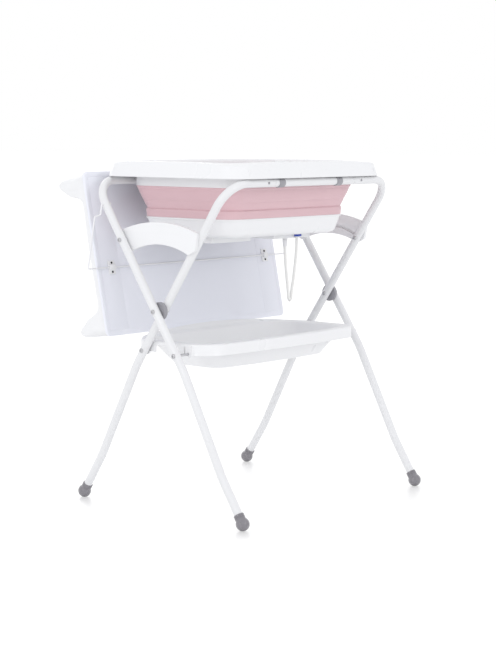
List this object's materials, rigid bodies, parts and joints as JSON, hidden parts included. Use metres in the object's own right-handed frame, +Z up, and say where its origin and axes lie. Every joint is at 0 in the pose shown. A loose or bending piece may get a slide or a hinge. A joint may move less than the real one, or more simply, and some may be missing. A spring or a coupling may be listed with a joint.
{
  "type": "changing table with bathtub",
  "caption": "Folding changing table: crossed tube frames carry a collapsible bathtub, a storage tray and a changing board on a swing-over wire arm.",
  "frame": {"origin": "on the floor, under the middle of the table's overall length and depth", "axes": "+Z up, +X along the tub, -Y the front side, with the changing board stored at +Y"},
  "size_m": [0.933, 0.777, 1.038],
  "materials": {
    "white_tube": "white powder coat",
    "grey_rubber": "matte grey",
    "grey_plastic": "satin grey",
    "white_plastic": "smooth white",
    "pink_silicone": "matte dusty pink",
    "hose": "milky white",
    "blue_plastic": "blue",
    "board_underside": "pale lilac grey",
    "mat_cover": "soft white",
    "white_wire": "white coated wire",
    "dark_screws": "dark",
    "steel_bolts": "zinc plated"
  },
  "bodies": {
    "outer_frame": {"outer_leg_left": "white_tube", "outer_leg_right": "white_tube", "outer_foot_left": "grey_rubber", "outer_foot_right": "grey_rubber", "back_rail": "white_tube", "back_rail_buttons": "grey_plastic", "pivot_disc_left": "grey_plastic", "pivot_disc_right": "grey_plastic", "pivot_bolts": "steel_bolts", "fold_guide_left": "white_plastic", "fold_guide_right": "white_plastic", "guide_bolts": "steel_bolts", "tray_hook_bolts": "steel_bolts"},
    "inner_frame": {"inner_leg_left": "white_tube", "inner_leg_right": "white_tube", "inner_foot_left": "grey_rubber", "inner_foot_right": "grey_rubber", "front_rail": "white_tube", "front_rail_buttons": "grey_plastic", "guide_pins": "steel_bolts", "rail_hook_left": "grey_plastic", "rail_hook_right": "grey_plastic", "tray_hinge_bolts": "steel_bolts"},
    "tray": {"storage_tray": "white_plastic"},
    "tub": {"tub_rim": "white_plastic", "tub_bellows": "pink_silicone"},
    "tub_bottom": {"tub_base": "white_plastic", "foot_plate_left": "white_plastic", "foot_plate_right": "white_plastic", "drain_spout": "white_plastic", "drain_hose": "hose", "hose_clip": "blue_plastic"},
    "plug": {"drain_plug": "white_plastic"},
    "arm": {"wire_arm": "white_wire", "wire_caps": "white_plastic"},
    "board": {"board_panel": "board_underside", "changing_mat": "mat_cover", "wire_clip_left": "white_plastic", "wire_clip_right": "white_plastic", "clip_screws": "dark_screws"}
  },
  "joints": [
    {"name": "frame_fold", "type": "hinge", "parent": "outer_frame", "child": "inner_frame", "pos_m": [0, -0.03354, 0.6], "axis": [-1, 0, 0], "range_deg": [0, 58]},
    {"name": "tray_swing", "type": "hinge", "parent": "inner_frame", "child": "tray", "pos_m": [0, 0.04731, 0.477], "axis": [-1, 0, 0], "range_deg": [0, 29]},
    {"name": "tub_lift", "type": "slide", "parent": "outer_frame", "child": "tub", "axis": [0, 0.2425, 0.9701], "range_m": [0, 0.8302]},
    {"name": "tub_collapse", "type": "slide", "parent": "tub", "child": "tub_bottom", "axis": [0, 0, 1], "range_m": [0, 0.08], "deforming": ["tub_bellows"]},
    {"name": "plug_lift", "type": "slide", "parent": "tub_bottom", "child": "plug", "axis": [0, 0, 1], "range_m": [0, 0.03]},
    {"name": "arm_swing", "type": "hinge", "parent": "outer_frame", "child": "arm", "pos_m": [0, 0.16803, 0.90665], "axis": [1, 0, 0], "range_deg": [0, 216.82]},
    {"name": "board_flip", "type": "hinge", "parent": "arm", "child": "board", "pos_m": [0, 0.20316, 0.71377], "axis": [1, 0, 0], "range_deg": [-115.18, 0]}
  ],
  "couplings": [
    {"joint": "tray_swing", "follows": "frame_fold", "ratio": 0.5},
    {"joint": "tub_lift", "follows": "frame_fold", "m_per_rad": 0.82},
    {"joint": "board_flip", "follows": "arm_swing", "ratio": -0.53117}
  ]
}
